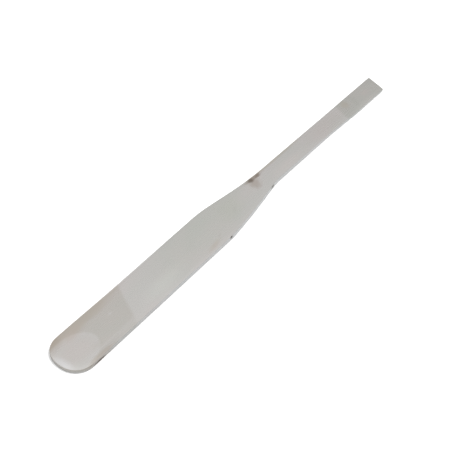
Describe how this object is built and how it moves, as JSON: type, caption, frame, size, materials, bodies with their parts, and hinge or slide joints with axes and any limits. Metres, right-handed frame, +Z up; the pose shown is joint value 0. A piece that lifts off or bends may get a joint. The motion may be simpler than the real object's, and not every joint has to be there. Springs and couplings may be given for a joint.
{
  "type": "sculpting spatula",
  "caption": "Steel sculpting spatula: a wide round-nosed blade narrows through sloped shoulders to a slim flat handle with a thin angled end, for shaping and smoothing clay or plaster.",
  "frame": {"origin": "under the middle of the tool's length and width, on the surface that it lies on", "axes": "+X along the blade from the round nose to the cut end, +Y across the blade, +Z up from the surface it lies on"},
  "size_m": [0.2, 0.018, 0.0021],
  "materials": {
    "steel": "satin polished stainless steel with fine lengthwise grinding marks"
  },
  "bodies": {
    "root": {"spatula": "steel"}
  },
  "joints": []
}
